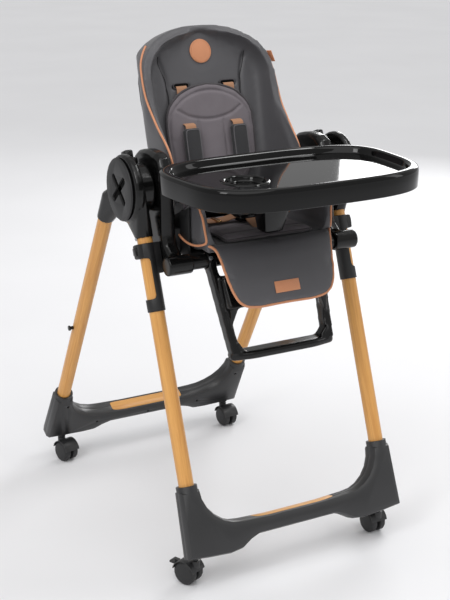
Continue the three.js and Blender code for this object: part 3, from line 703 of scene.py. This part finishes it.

# %% [markdown]
# ## Small hard details
# The cross in each hub cover is a deep hole, so its floor is lined with a black plate: painted shade for
# its depth. Screws close
# the sockets and hang the seat: each is a low round head with a cross slot, turned to face out.

# %% Cross recess
CROSS_TURN = 47                                       # degrees of each arm from upright
for name, side in SIDES.items():
    low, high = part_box(f"hub_cover_{name}")
    middle = (low + high) / 2
    recess_floor = max(abs(low.x), abs(high.x)) - 0.0043
    arms = []
    # black plates on the recess floor are painted shade of the deep cross
    for turn in (CROSS_TURN, -CROSS_TURN):
        arm = block((0.0006, 0.0146, 0.0752), 0.0002, 1)
        arm.rotation_euler = (math.radians(turn), 0, 0)
        arm.location = (side * recess_floor, middle.y, middle.z)
        arms.append(arm)
    finished(joined(arms), f"cross_recess_shade_{name}", painted_hole_shade, "frame")
print("cross recess floors", recess_floor)


# %% Screws
def screw(name, place, facing, body, radius=0.0036):
    head = disc(radius, 0.0018, 0.0006, 20)
    for turn in (0, 90):
        slot = block((radius * 1.3, 0.0007, 0.0012), 0.0001, 1)
        slot.rotation_euler = (0, 0, math.radians(turn))
        slot.location = (0, 0, 0.0009)
        cut = head.modifiers.new("slot", "BOOLEAN")
        cut.operation = "DIFFERENCE"
        cut.object = slot
        apply_all(head)
        bpy.data.objects.remove(slot)
    head.rotation_euler = Vector(facing).to_track_quat("Z", "Y").to_euler()
    head.location = place
    finished(head, name, zinc_steel, body)


def at(x, y, z):
    """A point in the chair's own measures, in metres from the middle of the wheelbase."""
    return Vector((x, y + SHIFT, z))


for name, side in SIDES.items():
    screw(f"socket_screw_{name}", at(side * 0.2462, -0.1508, 0.6745), (side, 0.0, 0.0), "frame")
    screw(f"footrest_screw_{name}", at(side * 0.128, -0.2432, 0.643), (0, -0.86, 0.5), "leg_rest", 0.0045)
    screw(f"wing_screw_{name}", at(side * 0.1588, -0.112, 0.7195), (side, 0, 0), "seat", 0.003)

# %% [markdown]
# ## Backrest
# The real one is leatherette over moulded foam: a bucket whose side wings sweep forward at the
# bottom. It is softened from its solid with a small cap, so it stays trim. Curved seams part the
# wings from the middle panel, and copper piping follows the outer edge of each wing.

# %% Places on the backrest
BACK_LEAN = math.radians(14.9)
BACK_FACE = -0.041                                    # depth of the front of the back padding


def on_back(x, depth, up):
    """A point given on the upright back: depth is negative towards the child."""
    return HINGE + Vector((x, depth * math.cos(BACK_LEAN) + up * math.sin(BACK_LEAN),
                           up * math.cos(BACK_LEAN) - depth * math.sin(BACK_LEAN)))


OUT_OF_BACK = on_back(0, -1, 0) - on_back(0, 0, 0)

# side distance and height of the seam between a wing and the middle panel
WING_SEAM = [(0.106, 0.352), (0.097, 0.325), (0.089, 0.30), (0.0865, 0.27), (0.088, 0.2), (0.094, 0.1)]

# %% Back padding
back = soften(copy_of("back_cover"), 0.0055, 0.0035, 0.0045)
for side in SIDES.values():
    press(back, flow([on_back(side * x, BACK_FACE, v) for x, v in WING_SEAM], 40), 0.0042, 0.006)
    press(back, flow([on_back(side * x, BACK_FACE, 0.281) for x in (0.039, 0.072)], 5), 0.004, 0.008)

# the head of the panel is flat round the badge
BADGE_UP, FLAT_R = 0.352, 0.036
skin = points_of(back)
offset = skin - np.array(HINGE)
depth = offset[:, 1] * math.cos(BACK_LEAN) - offset[:, 2] * math.sin(BACK_LEAN)
up = offset[:, 1] * math.sin(BACK_LEAN) + offset[:, 2] * math.cos(BACK_LEAN)
reach = np.hypot(offset[:, 0], up - BADGE_UP) / FLAT_R
pull = np.clip((1.25 - reach) / 0.45, 0, 1) * np.maximum(BACK_FACE - depth, 0)
skin -= pull[:, None] * np.array(OUT_OF_BACK)
# easing has drawn the thin upper rim down, so it is stretched back to its height
RIM_FROM, RIM_TO, RIM_RISE = 0.29, 0.40, 0.0095
rise = np.clip((up - RIM_FROM) / (RIM_TO - RIM_FROM), 0, 1)
UP_BACK = on_back(0, 0, 1) - on_back(0, 0, 0)
skin += (RIM_RISE * rise * rise * (3 - 2 * rise))[:, None] * np.array(UP_BACK)
move_points(back, skin)
finished(back, "back_padding", leatherette, "back", 180)
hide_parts("back_cover")
print("back padding faces", len(back.data.polygons))

# %% [markdown]
# A dark thread line marks each seam between wing and middle panel: the seam's thread, drawn dark as painted
# shade of the crease. A small copper tag is caught in the side edge. Both are laid on the softened skin
# afterwards, so they stay crisp.

# %% Seam threads, with painted seam shade, between wings and middle panel
for name, side in SIDES.items():
    line = snapped(flow([on_back(side * x, BACK_FACE, v) for x, v in WING_SEAM], 50), back, -0.0002, 14)
    # the thread is dark as painted shade of the seam crease
    tube(f"wing_seam_shade_{name}", line, 0.0009, seam_shade_thread, "back")

# %% Side tag
tag = block((0.026, 0.019, 0.0022), 0.0009)
tag.rotation_euler = (-BACK_LEAN, math.radians(66), 0)
tag.location = on_back(0.1565, -0.060, 0.329)
finished(tag, "side_tag", copper_trim, "back")

# %% [markdown]
# Copper piping follows the outer edge of each wing. A round badge, left blank, is stitched to
# the head of the panel. Two bound slots let the shoulder webbing through.

# %% Piping on the wings
for name, side in SIDES.items():
    edge = [(0.150, -0.161, 0.100), (0.150, -0.160, 0.128), (0.1535, -0.143, 0.165), (0.157, -0.113, 0.209),
            (0.1595, -0.091, 0.258), (0.159, -0.080, 0.310), (0.151, -0.068, 0.352), (0.137, -0.055, 0.384)]
    line = snapped(flow([on_back(side * x, u + 0.013, v) for x, u, v in edge], 60), back, 0.0008, 6)
    tube(f"back_piping_{name}", line, PIPING_R, copper_trim, "back")

# %% Round badge
STITCH_R = 0.0222                                     # radius of the ring of stitches
badge = disc(0.025, 0.0028, 0.0009, 64)
badge.rotation_euler = (math.radians(90) - BACK_LEAN, 0, 0)
badge.location = on_back(0, BACK_FACE - 0.0012, BADGE_UP)
finished(badge, "round_badge", copper_trim, "back")
ring = [on_back(STITCH_R * math.sin(a), BACK_FACE - 0.003, BADGE_UP + STITCH_R * math.cos(a))
        for a in np.linspace(0, 2 * math.pi, 73)]
stitched("badge_stitches", ring, badge, "back", copper_trim)

# %% Strap slots
SLOT_X, SLOT_UP = 0.055, 0.283
for name, side in SIDES.items():
    slot_ring = []
    for a in np.linspace(0, 2 * math.pi, 33)[:-1]:
        across, rise = oblong(a, 0.0175, 0.0055, 0.5, 0.7)
        slot_ring.append(on_back(side * SLOT_X + across, BACK_FACE - 0.0005, SLOT_UP + rise))
    tube(f"slot_binding_{name}", slot_ring, 0.0013, binding_cloth, "back", closed=True)
    # a black plate in each slot is painted shade: it stands for the dark inside of the opening
    shade_plate = block((0.034, 0.002, 0.0095), 0.0009)
    shade_plate.rotation_euler = (-BACK_LEAN, 0, 0)
    shade_plate.location = on_back(side * SLOT_X, BACK_FACE - 0.0004, SLOT_UP)
    finished(shade_plate, f"slot_painted_shade_{name}", painted_hole_shade, "back")
    web = flow([on_back(side * 0.056, u, v) for u, v in
                ((BACK_FACE + 0.001, SLOT_UP), (BACK_FACE - 0.004, 0.279), (BACK_FACE - 0.004, 0.268),
                 (BACK_FACE - 0.003, 0.256))], 12)
    ribbon(f"upper_webbing_{name}", web, (1, 0, 0), WEBBING, copper_webbing, "back")

# %% [markdown]
# ## Seat
# The seat pad has the same leatherette and two low wings, whose front corners carry piping.
# The leg rest is a panel of the same material. It hangs over the front of the seat.

# %% Seat padding
seat = soften(copy_of("seat_cover"), 0.005, 0.003, 0.004)
finished(seat, "seat_padding", leatherette, "seat", 180)
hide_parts("seat_cover")

for name, side in SIDES.items():
    flank = [(0.1602, -0.108, 0.722), (0.1602, -0.122, 0.706), (0.1602, -0.142, 0.690),
             (0.1602, -0.172, 0.676), (0.1595, -0.207, 0.6685), (0.153, -0.238, 0.6685)]
    front = [(0.149, -0.250, 0.673), (0.147, -0.257, 0.682), (0.147, -0.252, 0.705), (0.147, -0.240, 0.742),
             (0.147, -0.234, 0.765)]
    line = flow([at(side * x, y, z) for x, y, z in flank], 40)
    line += snapped(flow([at(side * x, y, z) for x, y, z in front], 40), seat, 0.0008)
    line = eased(line, 6)
    tube(f"seat_piping_{name}", line, PIPING_R, copper_trim, "seat")

# %% [markdown]
# Where the back turns on the seat, the wings of the two would part. A strip of leatherette is
# sewn in between. It reaches a little into both. It is kept shorter than the wings,
# because a longer strip would stand out past them.

# %% Gussets between the wings
PARTING = math.radians(28.5)                          # slope of the line where the wings meet
ALONG = Vector((0, -math.cos(PARTING), math.sin(PARTING)))
ACROSS = Vector((0, math.sin(PARTING), math.cos(PARTING)))
GUSSET = {"middle": 0.103, "half_length": 0.056, "half_width": 0.008, "x": 0.1425}
for name, side in SIDES.items():
    bpy.ops.object.select_all(action="DESELECT")
    bpy.ops.mesh.primitive_grid_add(x_subdivisions=40, y_subdivisions=16, size=2)
    gusset = bpy.context.object
    grid = points_of(gusset)
    for i, (u, v, _) in enumerate(grid):
        spot = HINGE + ALONG * (GUSSET["middle"] + GUSSET["half_length"] * u)
        grid[i] = spot + ACROSS * GUSSET["half_width"] * v + Vector((side * GUSSET["x"], 0, 0))
    move_points(gusset, grid)
    cloth = gusset.modifiers.new("cloth", "SOLIDIFY")
    cloth.thickness = 0.002
    cloth.offset = 0
    finished(gusset, f"wing_gusset_{name}", leatherette, None)
    middle = HINGE + ALONG * GUSSET["middle"]
    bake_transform(gusset)

# %% [markdown]
# The panel is a grid drawn to the outline and side line of the real one, given foam thickness
# and softened. Its rim line is kept, so that the piping can follow the same outline.

# %% Leg-rest panel
PANEL_PATH = [(-0.250, 0.6745), (-0.266, 0.669), (-0.280, 0.650), (-0.293, 0.626), (-0.306, 0.602),
              (-0.316, 0.580), (-0.323, 0.562), (-0.3265, 0.551)]
PANEL_HALF = [(0, 0.145), (0.07, 0.1395), (0.14, 0.135), (0.3, 0.132), (0.5, 0.127), (0.68, 0.119),
              (0.82, 0.108), (0.92, 0.092), (0.97, 0.077), (1.0, 0.056)]
ROWS, COLUMNS = 41, 41


def panel_half(s):
    return float(np.interp(s, [a for a, _ in PANEL_HALF], [b for _, b in PANEL_HALF]))


panel_line = flow([(0, y, z) for y, z in PANEL_PATH], ROWS)
bpy.ops.object.select_all(action="DESELECT")
bpy.ops.mesh.primitive_grid_add(x_subdivisions=COLUMNS - 1, y_subdivisions=ROWS - 1, size=2)
leg_panel = bpy.context.object
grid = points_of(leg_panel)
for i, (across, down, _) in enumerate(grid):
    s = (1 - down) / 2
    spot = panel_line[round(s * (ROWS - 1))]
    crown = 0.004 * (1 - across ** 4) * math.sin(math.pi * min(1, s * 1.1))
    grid[i] = at(across * panel_half(s), spot.y - crown, spot.z)
move_points(leg_panel, grid)
foam = leg_panel.modifiers.new("foam", "SOLIDIFY")
foam.thickness = 0.012
foam.offset = -1
apply_all(leg_panel)
soften(leg_panel, 0.004, 0.001, 0.004)
finished(leg_panel, "leg_rest_panel", leatherette, None, 180)
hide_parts("leg_rest_pad")

rim = []
for k in range(61):
    s = k / 60
    spot = panel_line[round(s * (ROWS - 1))]
    rim.append(at(-panel_half(s), spot.y, spot.z))
rim += [at(x, panel_line[-1].y, panel_line[-1].z) for x in np.linspace(-0.05, 0.05, 12)]
rim += [at(-p.x, p.y - SHIFT, p.z) for p in reversed(rim[:61])]
rim = snapped(rim, leg_panel, 0.0006)
leg_piping = tube("leg_rest_piping", rim, 0.0027, copper_trim, None)
for piece in (leg_panel, leg_piping):
    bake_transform(piece)

label = block((0.056, 0.0022, 0.023), 0.0008, 2)
label.rotation_euler = (math.radians(-24), 0, 0)
label.location = at(0.002, -0.3195, 0.588)
finished(label, "square_badge", copper_trim, "leg_rest")
print("leg-rest panel faces", len(leg_panel.data.polygons))

# %% [markdown]
# ## Quilted inlay and harness
# A washable quilted inlay lies on the seat and back: melange cloth with a bound edge and sewn
# channels. The harness is copper webbing with charcoal sleeves over the shoulders.

# %% Inlay
back_inlay = soften(copy_of("back_liner"), 0.0042, 0.0012, 0.0035)
INLAY_FACE = -0.052
arch = [(0.088, 0.05), (0.097, 0.12), (0.099, 0.18)]
arch += [(0.099 * math.cos(a), 0.19 + 0.079 * math.sin(a)) for a in np.linspace(0.15, math.pi / 2, 8)]
arch_line = arch + [(-x, v) for x, v in reversed(arch[:-1])]
press(back_inlay, flow([on_back(x, INLAY_FACE, v) for x, v in arch_line], 90), 0.0032, 0.0032, OUT_OF_BACK)
yoke = [(-0.075, 0.232), (-0.045, 0.216), (0, 0.209), (0.045, 0.216), (0.075, 0.232)]
press(back_inlay, flow([on_back(x, INLAY_FACE, v) for x, v in yoke], 40), 0.0032, 0.0035, OUT_OF_BACK)
for x in (-0.03, 0.03):
    press(back_inlay, [on_back(x, INLAY_FACE, v) for v in (0.05, 0.205)], 0.0032, 0.003, OUT_OF_BACK)
finished(back_inlay, "back_inlay", melange, "back", 180)
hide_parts("back_liner")
edge = [(0.097, 0.03), (0.106, 0.10), (0.109, 0.17)]
edge += [(0.109 * math.cos(a), 0.192 + 0.093 * math.sin(a)) for a in np.linspace(0.12, math.pi / 2, 9)]
edge = edge + [(-x, v) for x, v in reversed(edge[:-1])]
bind = snapped(flow([on_back(x, INLAY_FACE + 0.003, v) for x, v in edge], 110), back_inlay, 0.0002)
tube("back_inlay_binding", bind, BINDING_R, binding_cloth, "back")

seat_inlay = soften(copy_of("seat_liner"), 0.0042, 0.0012, 0.0035)
for y in (-0.225, -0.185, -0.145):
    press(seat_inlay, [at(-0.092, y, 0.681), at(0.092, y, 0.681)], 0.0035, 0.0035, (0, 0, 1))
finished(seat_inlay, "seat_inlay", melange, "seat", 180)
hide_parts("seat_liner")
low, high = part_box("seat_liner")
bend_r = 0.022
front_edge = [(high.x, high.y), (high.x, low.y + bend_r), (high.x - bend_r * 0.3, low.y + bend_r * 0.3),
              (high.x - bend_r, low.y)]
front_edge += [(-x, y) for x, y in reversed(front_edge)]
bind = snapped(flow([(x, y, 0.676) for x, y in front_edge], 90), seat_inlay, 0.0002)
tube("seat_inlay_binding", bind, BINDING_R, binding_cloth, "seat")

# %% [markdown]
# Each strap is webbing on its real route: out of the back, over the chest and to the buckle.
# The sleeves are padded, so they are softened like the cushions, with a smaller cap.

# %% Harness
SLEEVE_FACE = -0.074                                  # depth of the front of the sleeves
for name, side in SIDES.items():
    x = side * 0.056
    web = flow([on_back(x, u, v) for u, v in ((-0.054, 0.203), (-0.061, 0.200), (-0.0655, 0.192),
                                              (-0.065, 0.150), (-0.065, 0.092), (-0.072, 0.050))], 30)
    ribbon(f"shoulder_webbing_{name}", web, (1, 0, 0), WEBBING, copper_webbing, "back")
    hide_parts(f"shoulder_strap_{name}")
    sleeve = soften(copy_of(f"shoulder_pad_{name}"), 0.003, 0.0005, 0.003)
    finished(sleeve, f"shoulder_sleeve_{name}", sleeve_cloth, "back", 180)
    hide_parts(f"shoulder_pad_{name}")
    corners = []
    for a in np.linspace(0, 2 * math.pi, 81)[:-1]:
        across, rise = oblong(a, 0.0175, 0.0475, 0.35, 0.35)
        corners.append(on_back(x + across, SLEEVE_FACE, 0.1425 + rise))
    bind = snapped(corners, sleeve, 0.0002)
    tube(f"sleeve_binding_{name}", bind, 0.0012, sleeve_edge, "back", closed=True)
    hip = flow([at(side * a, -0.151, z) for a, z in
                ((0.103, 0.6925), (0.076, 0.6905), (0.050, 0.6905), (0.026, 0.6945))], 24)
    ribbon(f"lap_webbing_{name}", hip, (0, 1, 0.12), 0.023, copper_webbing, "seat")
    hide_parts(f"lap_strap_{name}")
    slide = block((0.011, 0.031, 0.0045), 0.0014)
    slide.location = at(side * 0.066, -0.151, 0.6915)
    finished(slide, f"strap_slide_{name}", brass_slide, "seat")

crotch_route = [(-0.216, 0.682), (-0.205, 0.684), (-0.196, 0.686), (-0.177, 0.693)]
crotch = flow([at(0, y, z) for y, z in crotch_route], 14)
ribbon("crotch_webbing", crotch, (1, 0, 0), WEBBING, copper_webbing, "seat")
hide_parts("crotch_strap")

# %% [markdown]
# ## Tray
# The deck is one gloss moulding with a raised, rolled rim, so its outline has to be smooth.
# Rings of one rounded-oblong line are extruded one after another along the section of the rim.

# %% Tray deck
low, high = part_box("tray_top")
TRAY_HALF = 0.245
TRAY_MIDDLE = (low.y + high.y) / 2
TRAY_DEEP = (high.y - low.y) / 2
DECK, RIM_TOP, SKIRT = high.z - 0.015, high.z, low.z
TRAY_ROUND = 2 / 3.5                                  # power of the outline's corners
TRAY_TAPER = 0.29                                     # widening towards the child, per metre
AROUND = 176


def tray_ring(inset, z):
    """One ring of the tray's outline, drawn in by inset."""
    ring = []
    for i in range(AROUND):
        a = 2 * math.pi * (i + 0.5) / AROUND
        x, y = oblong(a, TRAY_HALF - inset, TRAY_DEEP - inset, TRAY_ROUND, TRAY_ROUND)
        ring.append((x * (1 + TRAY_TAPER * y), y + TRAY_MIDDLE, z))
    return ring


SECTION = [(0.006, DECK - 0.005), (0.005, SKIRT + 0.004), (0.004, SKIRT + 0.0008), (0.003, SKIRT),
           (0.0012, SKIRT), (0.0003, SKIRT + 0.001), (0, SKIRT + 0.003), (-0.0004, SKIRT + 0.02),
           (-0.0002, RIM_TOP - 0.009), (0.0006, RIM_TOP - 0.005), (0.0026, RIM_TOP - 0.002),
           (0.0062, RIM_TOP - 0.0004), (0.0105, RIM_TOP), (0.0145, RIM_TOP - 0.0006),
           (0.0172, RIM_TOP - 0.0026), (0.0186, RIM_TOP - 0.0056), (0.0196, DECK + 0.0052),
           (0.0214, DECK + 0.0018), (0.0248, DECK + 0.0003), (0.030, DECK)]
bpy.ops.object.select_all(action="DESELECT")
bpy.ops.mesh.primitive_circle_add(vertices=AROUND, fill_type="NOTHING", radius=0.2)
deck = bpy.context.object
bpy.ops.object.mode_set(mode="EDIT")
shape = bmesh.from_edit_mesh(deck.data)
shape.verts.ensure_lookup_table()
for vertex, place in zip(shape.verts, tray_ring(*SECTION[0])):
    vertex.co = place
for inset, z in SECTION[1:]:
    bpy.ops.mesh.extrude_region_move()
    shape = bmesh.from_edit_mesh(deck.data)
    moved = [v for v in shape.verts if v.select]
    for vertex, place in zip(moved, tray_ring(inset, z)):
        vertex.co = place
bpy.ops.mesh.edge_face_add()
bpy.ops.mesh.inset(thickness=0.012)
bmesh.update_edit_mesh(deck.data)
bpy.ops.mesh.select_all(action="SELECT")
bpy.ops.mesh.region_to_loop()
bpy.ops.mesh.edge_face_add()
bpy.ops.mesh.select_all(action="SELECT")
bpy.ops.mesh.normals_make_consistent(inside=False)
bpy.ops.object.mode_set(mode="OBJECT")
print("deck corners", len(deck.data.vertices))

# %% [markdown]
# The cup recess is cut with a boolean, which keeps the flat deck flat, and a turned ring with
# a rolled lip finishes its edge.

# %% Cup recess
CUP = at(-0.110, -0.345, 0)
CUP_R = 0.038


def drum(radius, bottom, top):
    """A plain round cutter or plug for the cup recess."""
    bpy.ops.object.select_all(action="DESELECT")
    bpy.ops.mesh.primitive_cylinder_add(vertices=96, radius=radius, depth=top - bottom,
                                        location=(CUP.x, CUP.y, (top + bottom) / 2))
    return bpy.context.object


for mode, tool in (("UNION", drum(CUP_R + 0.003, DECK - 0.012, DECK - 0.001)),
                   ("DIFFERENCE", drum(CUP_R, DECK - 0.0095, DECK + 0.02))):
    cut = deck.modifiers.new("cup", "BOOLEAN")
    cut.operation = mode
    cut.solver = "EXACT"
    cut.object = tool
    apply_all(deck)
    bpy.data.objects.remove(tool)
finished(deck, "tray_deck", piano_abs, "tray", 32)
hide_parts("tray_top")

CUP_SECTION = [(0.0476, -0.0002), (0.0472, 0.0006), (0.0458, 0.0018), (0.0440, 0.0022), (0.0412, 0.0020),
               (0.0392, 0.0008), (0.0380, -0.0010), (0.0374, -0.0060), (0.0362, -0.0082), (0.0340, -0.0092)]
bpy.ops.object.select_all(action="DESELECT")
bpy.ops.mesh.primitive_circle_add(vertices=96, fill_type="NOTHING", radius=CUP_SECTION[0][0],
                                  location=(CUP.x, CUP.y, DECK + CUP_SECTION[0][1]))
cup_ring = bpy.context.object
bpy.ops.object.transform_apply(location=True)
bpy.ops.object.mode_set(mode="EDIT")
bpy.ops.mesh.select_all(action="SELECT")
for (r0, z0), (r1, z1) in zip(CUP_SECTION[:-1], CUP_SECTION[1:]):
    bpy.ops.mesh.extrude_region_move(TRANSFORM_OT_translate={"value": (0, 0, z1 - z0)})
    bpy.ops.transform.resize(value=(r1 / r0, r1 / r0, 1), center_override=(CUP.x, CUP.y, DECK + z1))
bpy.ops.mesh.select_all(action="SELECT")
bpy.ops.mesh.normals_make_consistent(inside=False)
bpy.ops.object.mode_set(mode="OBJECT")
wall = cup_ring.modifiers.new("wall", "SOLIDIFY")
wall.thickness = 0.0008
finished(cup_ring, "cup_ring", piano_abs, "tray", 50)
print("cup ring faces", len(cup_ring.data.polygons))
